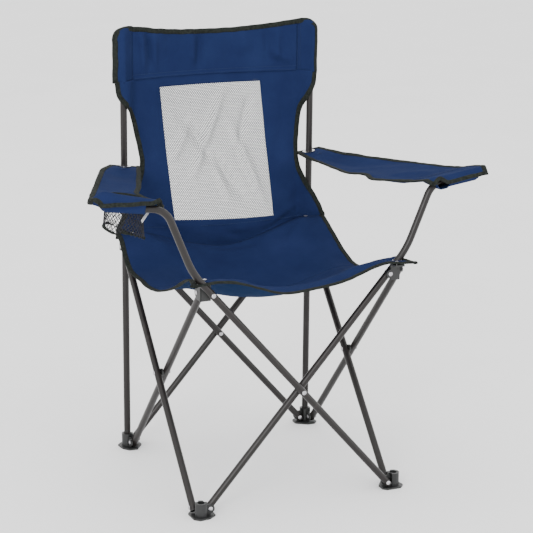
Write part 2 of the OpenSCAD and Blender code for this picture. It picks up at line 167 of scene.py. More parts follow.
def math_node(nodes, links, operation, a, b):
    node = nodes.new("ShaderNodeMath")
    node.operation = operation
    for socket, value in zip(node.inputs, (a, b)):
        if isinstance(value, (int, float)):
            socket.default_value = value
        else:
            links.new(value, socket)
    return node.outputs[0]


def by_object(nodes, links, *textures):
    """These textures follow the object's own coordinates."""
    where = nodes.new("ShaderNodeTexCoord")
    for texture in textures:
        links.new(where.outputs["Object"], texture.inputs["Vector"])


def bump(nodes, links, height, strength, distance, after=None):
    node = add(nodes, "ShaderNodeBump", Strength=strength, Distance=distance)
    links.new(height, node.inputs["Height"])
    if after is not None:
        links.new(after, node.inputs["Normal"])
    return node.outputs["Normal"]


def woven(name, dark, base, light, pitch=0.0009, rough=0.95, sheen=0.01, tint=(0.45, 0.55, 0.85)):
    """Plain weave: two sets of threads that pass over each other, with slubs and a soft mottle."""
    mat, nodes, links, shader = new_material(name)
    where = nodes.new("ShaderNodeTexCoord")
    warp = add(nodes, "ShaderNodeTexWave", wave_type="BANDS", bands_direction="X",
               Scale=math.pi / 10 / pitch, Distortion=0.4)
    weft = add(nodes, "ShaderNodeTexWave", wave_type="BANDS", bands_direction="Y",
               Scale=math.pi / 10 / pitch, Distortion=0.4)
    slub = add(nodes, "ShaderNodeTexNoise", Scale=900.0, Detail=3.0)
    mottle = add(nodes, "ShaderNodeTexNoise", Scale=16.0, Detail=5.0, Roughness=0.6)
    for node, output in ((warp, "UV"), (weft, "UV"), (slub, "UV"), (mottle, "Object")):
        links.new(where.outputs[output], node.inputs["Vector"])
    weave = math_node(nodes, links, "ADD", warp.outputs["Fac"], weft.outputs["Fac"])
    weave = math_node(nodes, links, "ADD", weave, slub.outputs["Fac"])
    cloudy = math_node(nodes, links, "MULTIPLY", mottle.outputs["Fac"], 0.4)
    threads = math_node(nodes, links, "MULTIPLY", weave, 0.20)
    shade = math_node(nodes, links, "ADD", cloudy, threads)
    colour = ramp(nodes, links, shade, [(0.35, dark), (0.56, base), (0.78, light)])
    links.new(colour, shader.inputs["Base Color"])
    fine = bump(nodes, links, weave, 0.35, 0.00012)
    soft = bump(nodes, links, mottle.outputs["Fac"], 0.25, 0.004, fine)
    links.new(soft, shader.inputs["Normal"])
    shader.inputs["Roughness"].default_value = rough
    shader.inputs["Sheen Weight"].default_value = sheen
    shader.inputs["Sheen Roughness"].default_value = 0.45
    shader.inputs["Sheen Tint"].default_value = (*tint, 1)
    shader.inputs["Specular IOR Level"].default_value = 0.03
    return mat


def ribbed(name, dark, light, pitch=0.0011):
    """Binding tape: fine ribs across its length."""
    mat, nodes, links, shader = new_material(name)
    where = nodes.new("ShaderNodeTexCoord")
    ribs = add(nodes, "ShaderNodeTexWave", wave_type="BANDS", bands_direction="X",
               Scale=math.pi / 10 / pitch, Distortion=0.6)
    fuzz = add(nodes, "ShaderNodeTexNoise", Scale=260.0, Detail=4.0)
    links.new(where.outputs["UV"], ribs.inputs["Vector"])
    links.new(where.outputs["Object"], fuzz.inputs["Vector"])
    shade = math_node(nodes, links, "MULTIPLY", ribs.outputs["Fac"], 0.35)
    shade = math_node(nodes, links, "ADD", shade, fuzz.outputs["Fac"])
    links.new(ramp(nodes, links, shade, [(0.4, dark), (1.0, light)]), shader.inputs["Base Color"])
    links.new(bump(nodes, links, shade, 0.5, 0.0003), shader.inputs["Normal"])
    shader.inputs["Roughness"].default_value = 0.9
    shader.inputs["Specular IOR Level"].default_value = 0.12
    return mat


def coated(name, base, worn):
    """Powder coat on steel: faint orange peel, a few scuffs."""
    mat, nodes, links, shader = new_material(name)
    peel = add(nodes, "ShaderNodeTexNoise", Scale=420.0, Detail=2.0)
    cloud = add(nodes, "ShaderNodeTexNoise", Scale=14.0, Detail=6.0, Roughness=0.65)
    scuff = add(nodes, "ShaderNodeTexNoise", Scale=75.0, Detail=8.0, Roughness=0.75)
    by_object(nodes, links, peel, cloud, scuff)
    marks = math_node(nodes, links, "MULTIPLY", cloud.outputs["Fac"], scuff.outputs["Fac"])
    links.new(ramp(nodes, links, marks, [(0.12, tuple(c * 0.85 for c in base)), (0.3, base),
                                         (0.46, worn)]), shader.inputs["Base Color"])
    rough = math_node(nodes, links, "MULTIPLY", scuff.outputs["Fac"], 0.3)
    links.new(math_node(nodes, links, "ADD", rough, 0.2), shader.inputs["Roughness"])
    links.new(bump(nodes, links, peel.outputs["Fac"], 0.15, 0.0003), shader.inputs["Normal"])
    shader.inputs["Specular IOR Level"].default_value = 0.3
    shader.inputs["Coat Weight"].default_value = 0.05
    shader.inputs["Coat Roughness"].default_value = 0.3
    return mat


def moulded(name, base, worn):
    """Moulded nylon: fine spark-eroded grain, edges and faces slightly scuffed."""
    mat, nodes, links, shader = new_material(name)
    grain = add(nodes, "ShaderNodeTexVoronoi", Scale=1400.0)
    scuff = add(nodes, "ShaderNodeTexNoise", Scale=55.0, Detail=8.0, Roughness=0.7)
    by_object(nodes, links, grain, scuff)
    links.new(ramp(nodes, links, scuff.outputs["Fac"], [(0.35, base), (0.75, worn)]),
              shader.inputs["Base Color"])
    links.new(bump(nodes, links, grain.outputs["Distance"], 0.3, 0.00015), shader.inputs["Normal"])
    rough = math_node(nodes, links, "MULTIPLY", scuff.outputs["Fac"], 0.3)
    links.new(math_node(nodes, links, "ADD", rough, 0.33), shader.inputs["Roughness"])
    return mat


def plated(name, base, dull, rough):
    """Plated steel: bright, with dull patches and hairline marks."""
    mat, nodes, links, shader = new_material(name)
    hair = add(nodes, "ShaderNodeTexNoise", Scale=700.0, Detail=3.0)
    patch = add(nodes, "ShaderNodeTexNoise", Scale=160.0, Detail=6.0)
    by_object(nodes, links, hair, patch)
    links.new(ramp(nodes, links, patch.outputs["Fac"], [(0.3, dull), (0.6, base)]),
              shader.inputs["Base Color"])
    spread = math_node(nodes, links, "MULTIPLY", patch.outputs["Fac"], 0.25)
    links.new(math_node(nodes, links, "ADD", spread, rough), shader.inputs["Roughness"])
    links.new(bump(nodes, links, hair.outputs["Fac"], 0.12, 0.0002), shader.inputs["Normal"])
    shader.inputs["Metallic"].default_value = 1.0
    return mat


def knitted(name, dark, light):
    """Yarn of the mesh and the net: twisted strands, with a painted highlight where they stand up."""
    mat, nodes, links, shader = new_material(name)
    twist = add(nodes, "ShaderNodeTexWave", wave_type="BANDS", bands_direction="DIAGONAL",
                Scale=math.pi / 10 / 0.0006, Distortion=1.5)
    fuzz = add(nodes, "ShaderNodeTexNoise", Scale=320.0, Detail=5.0)
    by_object(nodes, links, twist, fuzz)
    shade = math_node(nodes, links, "MULTIPLY", twist.outputs["Fac"], 0.4)
    shade = math_node(nodes, links, "ADD", shade, fuzz.outputs["Fac"])
    # painted highlight: the ramp makes the raised parts of the strands lighter
    links.new(ramp(nodes, links, shade, [(0.4, dark), (1.0, light)]), shader.inputs["Base Color"])
    links.new(bump(nodes, links, shade, 0.5, 0.0002), shader.inputs["Normal"])
    shader.inputs["Roughness"].default_value = 0.8
    shader.inputs["Specular IOR Level"].default_value = 0.25
    return mat


NAVY = woven("navy_weave", (0.0080, 0.0142, 0.050), (0.0110, 0.0195, 0.064), (0.0175, 0.0285, 0.085))
NAVY_BACK = woven("navy_reverse", (0.004, 0.014, 0.046), (0.006, 0.019, 0.059),
                  (0.010, 0.027, 0.076), rough=0.95, sheen=0.01)
TAPE = ribbed("binding_tape", (0.004, 0.005, 0.0045), (0.022, 0.026, 0.022))
THREAD = knitted("navy_thread", (0.008, 0.016, 0.05), (0.02, 0.035, 0.10))
MESH = knitted("grey_knit", (0.030, 0.034, 0.038), (0.13, 0.14, 0.15))
NET = knitted("black_net", (0.006, 0.006, 0.008), (0.03, 0.03, 0.035))
TAG = woven("white_tag", (0.55, 0.56, 0.58), (0.72, 0.73, 0.75), (0.85, 0.85, 0.86), pitch=0.0005,
            sheen=0.1, tint=(1, 1, 1))
TUBE = coated("powder_coat", (0.0110, 0.0088, 0.0084), (0.030, 0.024, 0.0225))
PLASTIC = moulded("black_nylon", (0.005, 0.0055, 0.0055), (0.015, 0.0155, 0.016))
STEEL = plated("zinc_plate", (0.56, 0.55, 0.57), (0.38, 0.37, 0.39), 0.24)
NICKEL = plated("nickel_plate", (0.74, 0.73, 0.74), (0.50, 0.49, 0.50), 0.10)

for name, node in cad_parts.items():
    if "rivet" in name:
        look = STEEL
    elif "eyelet" in name:
        look = NICKEL
    elif name.startswith("foot") or "hub" in name or "plug" in name or "cap" in name \
            or "spacer" in name:
        look = PLASTIC
    elif "tube" in name or name in ("post_left", "post_right"):
        look = TUBE
    else:
        continue
    for place in node.material_slots:
        place.material = look

# ---------------------------------------------------------------- mesh helpers


def rumple(points, size, seed):
    """Smooth noise from -1 to 1 at each point."""
    flat = points.reshape(-1, 3) / size + seed
    return np.array([noise.noise(p) for p in flat.tolist()]).reshape(points.shape[:-1])


def normals_of(grid):
    """Unit normals of a grid of points, from its own rows and columns."""
    across = np.gradient(grid, axis=1)
    along = np.gradient(grid, axis=0)
    n = np.cross(across, along)
    return n / np.maximum(np.linalg.norm(n, axis=-1, keepdims=True), 1e-9)


def toward(n, way):
    """The same normals, turned so that on the whole they look along way."""
    return n * (-1.0 if np.sum(n.mean(axis=(0, 1)) * way) < 0 else 1.0)


def creases(p, q, lines):
    """Soft ridges: (from p, q, to p, q, width, height)."""
    total = np.zeros(np.broadcast(p, q).shape)
    for p0, q0, p1, q1, width, height in lines:
        length = math.hypot(p1 - p0, q1 - q0)
        s = ((p - p0) * (p1 - p0) + (q - q0) * (q1 - q0)) / length**2
        d = ((p - p0) * (q1 - q0) - (q - q0) * (p1 - p0)) / length / width
        total = total + height * np.exp(-d * d) * step(-0.1, 0.35, s) * step(-0.1, 0.35, 1 - s)
    return total


def make(name, points, faces, mats, uvs=None):
    """A smooth-shaded mesh from points in millimetres."""
    mesh = bpy.data.meshes.new(name)
    mesh.from_pydata((np.asarray(points, float) / 1000).tolist(), [], faces)
    for mat in mats:
        mesh.materials.append(mat)
    if uvs is not None:
        layer = mesh.uv_layers.new(name="UVMap")
        loops = np.empty(len(mesh.loops), dtype=np.int32)
        mesh.loops.foreach_get("vertex_index", loops)
        layer.data.foreach_set("uv", (np.asarray(uvs, float)[loops] / 1000).ravel())
    mesh.polygons.foreach_set("use_smooth", [True] * len(mesh.polygons))
    mesh.update()
    obj = bpy.data.objects.new(name, mesh)
    bpy.context.scene.collection.objects.link(obj)
    return obj


def grid_faces(rows, cols, skip=None):
    return [(j * cols + i, j * cols + i + 1, (j + 1) * cols + i + 1, (j + 1) * cols + i)
            for j in range(rows - 1) for i in range(cols - 1)
            if skip is None or not skip[j, i]]


def drop_loose(points, faces, uvs):
    used = sorted({v for face in faces for v in face})
    index = {v: k for k, v in enumerate(used)}
    return points[used], [tuple(index[v] for v in face) for face in faces], uvs[used]


def cloth(name, grid, uv, face, mats=(NAVY, NAVY_BACK), skip=None, thick=CLOTH):
    """A sheet of cloth with its own thickness. Its good side looks along face, and the reverse side
    has the second material."""
    rows, cols = grid.shape[:2]
    points, faces, uvs = drop_loose(grid.reshape(-1, 3), grid_faces(rows, cols, skip),
                                    uv.reshape(-1, 2))
    if np.sum(normals_of(grid).mean(axis=(0, 1)) * face) < 0:
        faces = [quad[::-1] for quad in faces]
    obj = make(name, points, faces, mats, uvs)
    shell = obj.modifiers.new("thickness", "SOLIDIFY")
    shell.thickness = thick / 1000
    shell.offset = 0
    if len(mats) > 1:
        shell.material_offset = 1
    return obj


def sweep(name, path, side, out, ring, mats, closed=False):
    """A band swept along a path: ring holds (sideways, outwards) offsets in millimetres."""
    path, side, out = (np.asarray(a, float) for a in (path, side, out))
    count, around = len(path), len(ring)
    points = np.empty((count, around, 3))
    for k, (s, o) in enumerate(ring):
        points[:, k] = path + side * s + out * o
    lengths = np.concatenate([[0], np.cumsum(np.linalg.norm(np.diff(path, axis=0), axis=1))])
    uv = np.empty((count, around, 2))
    uv[..., 0] = lengths[:, None]
    uv[..., 1] = np.arange(around) * 1.5
    faces = []
    for j in range(count if closed else count - 1):
        a, b = j * around, (j + 1) % count * around
        faces += [(a + k, a + (k + 1) % around, b + (k + 1) % around, b + k)
                  for k in range(around)]
    if not closed:
        faces += [tuple(range(around))[::-1], tuple((count - 1) * around + k for k in range(around))]
    return make(name, points.reshape(-1, 3), faces, mats, uv.reshape(-1, 2))


def oval(half_wide, half_thick, count=14, power=0.55):
    """A flattened ring: wide, with soft rounded ends."""
    ring = []
    for k in range(count):
        a = 2 * math.pi * k / count
        c, s = math.cos(a), math.sin(a)
        ring.append((half_wide * math.copysign(abs(c) ** power, c),
                     half_thick * math.copysign(abs(s) ** 0.8, s)))
    return ring


def resample(path, spacing, *others):
    """The same path with evenly spaced points, and whatever goes along with it."""
    path = np.asarray(path, float)
    lengths = np.concatenate([[0], np.cumsum(np.linalg.norm(np.diff(path, axis=0), axis=1))])
    count = max(3, int(round(lengths[-1] / spacing)) + 1)
    at = np.linspace(0, lengths[-1], count)
    result = []
    for values in (path, *others):
        values = np.asarray(values, float)
        result.append(np.stack([np.interp(at, lengths, values[:, k]) for k in range(3)], axis=1))
    return result


def unit(vectors):
    return vectors / np.maximum(np.linalg.norm(vectors, axis=-1, keepdims=True), 1e-9)


def tape(name, path, out, inward, width=10.0, seed=0.0, half_thick=1.7, spacing=3.0):
    """Binding tape folded over an edge: path runs along the raw edge, inward points into the cloth."""
    path, out, inward = resample(path, spacing, out, inward)
    along = unit(np.gradient(path, axis=0))
    out = unit(out - along * np.sum(out * along, axis=1, keepdims=True))
    side = np.cross(along, out)
    flip = np.sign(np.sum(side * inward))
    side = side * (flip if flip else 1)
    pucker = rumple(path, 17.0, seed) * 0.9 + rumple(path, 45.0, seed + 7) * 1.1
    lift = rumple(path, 12.0, seed + 3) * 0.5
    middle = path + side * (width / 2 - 1.6 + pucker[:, None]) + out * lift[:, None]
    return sweep(name, middle, side, out, oval(width / 2, half_thick), [TAPE])


def threads(name, lines, pitch=3.6, length=2.5, radius=0.38, lift=0.25):
    """Rows of stitches: each line is (points, outward normals)."""
    points, faces = [], []
    for path, out in lines:
        path, out = resample(path, pitch, out)
        along = unit(np.gradient(path, axis=0))
        out = unit(out)
        side = np.cross(along, out)
        for p, a, o, s in zip(path[:-1], along, out, side):
            base = len(points)
            centre = p + a * pitch / 2 + o * lift
            for t, r, sink in ((-0.5, 0.35, 0.5), (-0.3, 1, 0.05), (0.3, 1, 0.05), (0.5, 0.35, 0.5)):
                for k in range(6):
                    w = 2 * math.pi * k / 6
                    points.append(centre + a * length * t - o * sink * radius
                                  + (s * math.cos(w) + o * math.sin(w)) * radius * r)
            for j in range(3):
                for k in range(6):
                    faces.append((base + j * 6 + k, base + j * 6 + (k + 1) % 6,
                                  base + (j + 1) * 6 + (k + 1) % 6, base + (j + 1) * 6 + k))
            faces.append(tuple(base + k for k in range(6))[::-1])
            faces.append(tuple(base + 18 + k for k in range(6)))
    return make(name, np.array(points), faces, [THREAD])


FRONT, REAR, TOP, UNDER = (0, -1, 0), (0, 1, 0), (0, 0, 1), (0, 0, -1)
PIECES = {"rear_left_post": [], "rear_right_post": [], "seat_front": [], "seat_rear": [],
          "left_armrest": [], "right_armrest": []}


def belongs(body, *objects):
    PIECES[body] += objects
    return objects[0]


# ---------------------------------------------------------------- back panel, below the band

def lean(z):
    """The window stands a little askew: its lower end lies toward the sitter's left."""
    return (8 - 14 * np.clip((z - MESH_LOW) / (MESH_TOP - MESH_LOW), 0, 1)) * step(405, MESH_LOW, z)


def droop(side, t):
    """The window hangs lower toward the sitter's left: side runs from -1 to 1 across it."""
    return 5 * (1 + np.clip(side, -1, 1)) * np.clip(t, 0, 1)


def blocks(edges, counts):
    """Parameters from 0 that pass exactly through each edge."""
    values = [np.linspace(a, b, n, endpoint=False) for a, b, n in zip(edges, edges[1:], counts)]
    return np.concatenate(values + [[edges[-1]]])


BACK_CREASES = [
    (-150, 715, -128, 600, 9, 1.8), (-135, 700, -112, 560, 7, -1.4), (150, 690, 128, 560, 10, 1.6),
    (-60, 440, 60, 412, 8, 2.6), (-150, 452, -20, 436, 7, -2.2), (70, 405, 165, 452, 8, 3.6),
    (95, 425, 185, 470, 7, -2.8), (-190, 470, -90, 430, 9, 2.8), (120, 430, 205, 440, 7, 2.4),
    (30, 705, -60, 520, 9, 8.5), (-75, 660, 60, 470, 11, -8.5), (30, 640, 95, 470, 9, 8.0),
    (-95, 560, -50, 640, 9, 6.0), (80, 690, 40, 560, 8, -6.5), (-20, 600, 20, 480, 8, 6.0),
    (-180, 520, -130, 470, 9, -2.2), (180, 515, 140, 470, 9, -2.0), (-30, 440, 20, 408, 7, -1.6),
]

rows_t = blocks([0, 1, 2, 3], [12, 52, 5])
cols_t = blocks([-2, -1, 1, 2], [18, 44, 18])
T, C = np.meshgrid(rows_t, cols_t, indexing="ij")
low_mid = float(seat_z(0.0, 163.0)) - 3
nominal = np.where(T < 1, low_mid + (MESH_LOW - low_mid) * T,
                   np.where(T < 2, MESH_LOW + (MESH_TOP - MESH_LOW) * (T - 1),
                            MESH_TOP + (BAND_LOW + 3 - MESH_TOP) * (T - 2)))
wide = smooth_table(WAIST_Z, WAIST_W, nominal)
pulled = smooth_table(WAIST_Z, PULLED, nominal)
X = np.where(np.abs(C) <= 1, C * MESH_W,
             np.sign(C) * (MESH_W + (wide - MESH_W) * (np.abs(C) - 1)) + pulled * (np.abs(C) - 1))
X = X + lean(nominal) * np.clip(2 - np.abs(C), 0, 1)
low_z = seat_z(X, seat_rear(X)) - 7 - 3 * step(120, 190, np.abs(X))
Z = np.where(T < 1, low_z + (MESH_LOW - low_z) * T, nominal) - droop(C, np.where(T < 1, T, 2 - T))
Y = back_y(X, Z)
Y = Y + (seat_rear(X) + 2.5 - Y) * (1 - step(0, 0.4, T))
back = np.stack([X, Y + MID, Z], axis=-1)
lift = creases(X, Z, BACK_CREASES) + 1.3 * rumple(back, 70.0, 3.1) + 0.8 * rumple(back, 30.0, 9.7)
lift = lift * (0.1 + 0.9 * step(0, 0.3, T))
window = np.maximum((np.abs(C) - 1) * (wide - MESH_W), np.maximum((1 - T) * 55, (T - 2) * 18))
lift = lift + 0.8 * np.exp(-((window - 3) / 3.5) ** 2)
lift = lift - 0.8 * np.exp(-((Z - (low_z + 30)) / 2.5) ** 2) * (T < 1)
back_n = normals_of(back)
back = back - back_n * lift[..., None]
back_uv = np.stack([X, Z], axis=-1)
skip = (np.abs(C[:-1, :-1] + 1e-6) < 1) & (np.abs(C[1:, 1:] - 1e-6) < 1) \
    & (T[:-1, :-1] > 1 - 1e-6) & (T[1:, 1:] < 2 + 1e-6)
skip = skip & (C[:-1, :-1] >= -1 - 1e-6) & (C[1:, 1:] <= 1 + 1e-6)
panel = belongs("rear_left_post", cloth("back_cloth", back, back_uv, FRONT, skip=skip))

toward_front = toward(normals_of(back), FRONT)
edge_in = np.zeros_like(back[:, 0])
for side_name, col, sign in (("right", 0, 1), ("left", -1, -1)):
    inward = edge_in + (sign, 0, 0)
    belongs("rear_left_post", tape("back_tape_" + side_name, back[:, col], toward_front[:, col],
                                   inward, seed=11.0 + col))

# ---------------------------------------------------------------- mesh window: a knit with real holes

HOLE = 0.70                     # how much of each cell is open, across
KNIT_X, KNIT_Z = 4.2, 3.6       # the pitch of the openings
KNIT_LAP = 4.0                  # how far the knit reaches under the cloth round the window
KNIT_BEHIND = 2.0
SEAM_RISE = 441.0               # height of the stitched seam below the window


def knit(name, low_x, high_x, low_z, high_z, pitch_x, pitch_z, place):
    """Hexagonal openings in rows that are offset by half a pitch."""
    index, points, flat, faces = {}, [], [], []

    def vertex(x, z):
        key = (round(x * 50), round(z * 50))
        if key not in index:
            index[key] = len(points)
            points.append(key)
            flat.append((x, z))
        return index[key]

    corner = [(-0.5, 0.25), (0, 0.5), (0.5, 0.25), (0.5, -0.25), (0, -0.5), (-0.5, -0.25)]
    rows = int((high_z - low_z) / (pitch_z * 0.75))
    cols = int((high_x - low_x) / pitch_x)
    for r in range(rows + 1):
        for c in range(cols + 1):
            cx = low_x + (c + 0.5 * (r % 2)) * pitch_x
            cz = low_z + r * pitch_z * 0.75
            outer = []
            for dx, dz in corner:
                outer.append((min(max(cx + dx * pitch_x, low_x), high_x),
                              min(max(cz + dz * pitch_z, low_z), high_z)))
            middle_x = sum(p[0] for p in outer) / 6
            middle_z = sum(p[1] for p in outer) / 6
            if max(p[0] for p in outer) - min(p[0] for p in outer) < 0.6 * pitch_x \
                    or max(p[1] for p in outer) - min(p[1] for p in outer) < 0.6 * pitch_z:
                ring = []
                for p in outer:
                    v = vertex(*p)
                    if v not in ring:
                        ring.append(v)
                if len(ring) > 2:
                    faces.append(tuple(ring))
                continue
            a, b = [[vertex(middle_x + (x - middle_x) * share, middle_z + (z - middle_z) * share)
                     for x, z in outer] for share in (1, HOLE)]
            quads = [(a[k], a[(k + 1) % 6], b[(k + 1) % 6], b[k]) for k in range(6)]
            faces += [quad for quad in quads if len(set(quad)) == 4]
    flat = np.array(flat)
    return make(name, place(flat[:, 0], flat[:, 1]), faces, [MESH], flat)


def mesh_place(x, z):
    """Just behind the back's cloth, with the same creases."""
    y = back_y(x, z) + MID
    at = np.stack([x, y, z], axis=-1)
    fold = creases(x, z, BACK_CREASES) + 1.3 * rumple(at, 70.0, 3.1)
    at[..., 1] = at[..., 1] - fold + KNIT_BEHIND
    return at


def window_place(x, z):
    return mesh_place(x + lean(z), z - droop(x / MESH_W, (MESH_TOP - z) / (MESH_TOP - MESH_LOW)))


window_knit = knit("back_knit", -MESH_W - KNIT_LAP, MESH_W + KNIT_LAP, MESH_LOW - KNIT_LAP,
                   MESH_TOP + KNIT_LAP, KNIT_X, KNIT_Z, window_place)
shell = window_knit.modifiers.new("thickness", "SOLIDIFY")
shell.thickness = 0.0007
shell.offset = 0
belongs("rear_left_post", window_knit)
seam_x = np.linspace(-196, 205, 120)
seam = mesh_place(seam_x, SEAM_RISE - 4 * seam_x / 200) - (0, 3.4, 0)
belongs("rear_left_post", threads("back_seam", [(seam, np.zeros_like(seam) + FRONT)], radius=0.5))

# ---------------------------------------------------------------- band and pockets

def top_z(x):
    side = np.abs(x)
    middle = 829 - 17 * (1 - np.minimum(side / 179.4, 1) ** 2)
    corner = 829 - 22 * (1 - np.sqrt(np.maximum(0, 1 - (np.maximum(side - 186, 0) / 22) ** 2)))
    return np.where(side < 179.4, middle, corner)


def band_front(x, z):
    return 203 + back_bow(z) * np.maximum(0, 1 - (x / 185) ** 2)


BAND_DEPTH = 3.2      # how many times deeper the band's creases are than listed
BAND_CREASES = [
    (-152, 826, -146, 735, 6, 2.4), (-138, 822, -128, 745, 5, -2.0), (-120, 820, -122, 738, 6, 1.4),
    (-20, 812, -28, 735, 9, -2.2), (-42, 812, -38, 740, 10, 1.8), (110, 818, 118, 745, 8, -1.6),
    (135, 822, 128, 738, 7, 1.6), (60, 814, 70, 760, 16, 1.4), (-90, 816, -84, 750, 14, -1.2),
    (110, 770, 165, 745, 8, 1.5), (20, 812, 16, 750, 12, 1.0),
]


def band_grid(x_values, rows, in_front):
    v, x = np.meshgrid(np.linspace(0, 1, rows), x_values, indexing="ij")
    z = BAND_LOW + v * (top_z(x) - BAND_LOW)
    y = band_front(x, z) - in_front
    at = np.stack([x, y + MID, z], axis=-1)
    wave = BAND_DEPTH * creases(x, z, BAND_CREASES) + 1.1 * rumple(at, 60.0, 21.4) \
        + 0.6 * rumple(at, 26.0, 5.2)
    pucker = np.exp(-((z - 732) / 9.0) ** 2) * 0.7 * rumple(at * (1.0, 1.0, 0.2), 9.0, 2.7)
    groove = -0.7 * np.exp(-((z - 730) / 1.6) ** 2) - 0.7 * np.exp(-((z - 736) / 1.6) ** 2)
    wave = (wave + pucker + groove) * (1 - step(SEAM_X - 14, SEAM_X, np.abs(x)) * 0.7)
    at[..., 1] = at[..., 1] - wave
    return at, np.stack([x, z], axis=-1)


seam_xs = np.linspace(-SEAM_X, SEAM_X, 91)
band, band_uv = band_grid(seam_xs, 30, 1.1)
band_n = toward(normals_of(band), FRONT)
belongs("rear_left_post", cloth("band_cloth", band, band_uv, FRONT, thick=2.2))
belongs("rear_left_post", tape("band_tape_top", band[-1], band_n[-1], band[-2] - band[-1], seed=31.0,
                               half_thick=2.4))
belongs("rear_left_post", threads("band_stitches", [
    (band[1] + band_n[1] * 1.2, band_n[1]), (band[3] + band_n[3] * 1.2, band_n[3])]))


def hull_bulge(s, inner, outer, radius):
    """How far a layer stands off the pocket's middle line where it wraps the post."""
    far = np.where(s < 0, inner, outer)
    touch = radius * radius / far
    height = radius * np.sqrt(1 - (radius / far) ** 2)
    a = np.abs(s)
    arc = np.sqrt(np.maximum(0, radius**2 - a**2))
    line = height * np.clip((far - a) / (far - touch), 0, 1)
    return np.where(a < touch, arc, line)


POCKET_EDGE = {"left": 204.5, "right": 215.0}      # the right pocket is pulled wider


def pocket(side_name, sign):
    body = "rear_left_post" if sign > 0 else "rear_right_post"
    body_pieces = []
    edge_x = POCKET_EDGE[side_name]
    xs = np.linspace(SEAM_X, edge_x, 28)
    v, x = np.meshgrid(np.linspace(0, 1, 34), xs, indexing="ij")
    top = top_z(SEAM_X + (x - SEAM_X) * (208 - SEAM_X) / (edge_x - SEAM_X))
    z = BAND_LOW + v * (top - BAND_LOW)
    in_y = 203 + back_bow(z) * np.maximum(0, 1 - (SEAM_X / 185) ** 2)
    line = in_y + (189.5 - in_y) * (x - SEAM_X) / (edge_x - SEAM_X)
    centre = in_y + (189.5 - in_y) * (POST - SEAM_X) / (edge_x - SEAM_X)
    shift = POST - centre
    line = line + shift * np.exp(-((x - POST) / 12) ** 2)
    slope = math.hypot(1, 0.42)
    s = (x - POST) * slope
    closing = np.sqrt(np.clip((top - z) / 12, 0, 1))
    bulge = hull_bulge(s, (POST - SEAM_X) * slope, (edge_x - POST) * slope, 8.0) * closing * slope
    at_front = np.stack([x * sign, line - bulge - 0.9 + MID, z], axis=-1)
    at_rear = np.stack([x * sign, line + bulge + 0.9 + MID, z], axis=-1)
    across = np.clip((x - SEAM_X) / (edge_x - SEAM_X), 0, 1)
    wave = 0.9 * rumple(at_front, 34.0, 41.0) * np.sin(math.pi * across)
    at_front[..., 1] -= np.abs(wave) * 0.8
    uv = np.stack([x * sign, z], axis=-1)
    front_n = toward(normals_of(at_front), FRONT)
    body_pieces.append(cloth("pocket_front_" + side_name, at_front, uv, FRONT))
    body_pieces.append(cloth("pocket_rear_" + side_name, at_rear, uv, REAR))
    for layer, grid, way in (("front", at_front, FRONT), ("rear", at_rear, REAR)):
        edge = np.concatenate([grid[:, -1], grid[-1, ::-1]])
        n = toward(normals_of(grid), way)
        flat = np.concatenate([n[:, -4], n[-4, ::-1]])
        corner = np.array([SEAM_X * sign, line.mean() + MID, BAND_LOW])
        body_pieces.append(tape("pocket_tape_%s_%s" % (layer, side_name), edge + flat * 0.6, flat,
                                corner - edge, seed=51.0 * sign, half_thick=1.5))
    rows = []
    for col in (1, 4):
        rows.append((at_front[:-2, col] + front_n[:-2, col] * 0.9, front_n[:-2, col]))
    body_pieces.append(threads("pocket_stitches_" + side_name, rows))
    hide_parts("back_pocket_" + side_name)
    belongs(body, *body_pieces)


pocket("left", 1)
pocket("right", -1)

# ---------------------------------------------------------------- seat

SEAT_DEPTH = 1.5      # the same for the seat's
SEAT_CREASES = [
    (-190, -190, -120, -120, 12, -3.0), (190, -190, 120, -120, 12, -3.0),
    (-185, 180, -110, 120, 10, 3.0), (185, 180, 110, 110, 10, 3.4), (-60, 158, 90, 148, 9, -2.4),
    (60, 150, 170, 165, 8, 3.2), (-170, 150, -60, 140, 9, 2.6), (-150, -200, -90, -170, 10, 3.0),
    (-120, 60, -60, 150, 20, 1.8), (120, 40, 60, 150, 20, -1.6), (150, -195, 100, -150, 12, 2.2),
    (-100, 160, -80, 60, 14, -1.6), (30, 160, 40, 60, 16, 1.2), (-200, -60, -150, 20, 14, 1.8),
]


FRONT_HOLE, REAR_HOLE = 10.5, 7.8     # radii of the openings for the arm tubes and the posts


def seat_grid(front):
    edge = -205.0 if front else 163.0
    count = 46 if front else 38
    v = np.linspace(0, 1, count)
    u = np.linspace(-1, 1, 97)
    V, U = np.meshgrid(v, u, indexing="ij")
    x = U * seat_w(V * edge, U > 0)
    y = V * (seat_front(x) if front else seat_rear(x))
    return x, y


def seat_surface(x, y):
    z = seat_z(x, y)
    at = np.stack([x, y + MID, z], axis=-1)
    wave = SEAT_DEPTH * creases(x, y, SEAT_CREASES) + 1.8 * rumple(at, 85.0, 61.0) \
        + 0.9 * rumple(at, 34.0, 8.8)
    hem = np.exp(-((y + 203) / 22.0) ** 2)
    wave = wave + hem * (2.2 * np.sin(x / 21.0 + 0.6) * slack(x, 190) - 2.0 * np.cos(x / 47.0))
    at[..., 2] = at[..., 2] + wave * (1 - 0.8 * step(168, 196, np.abs(x)) * step(150, 185, np.abs(y)))
    return at


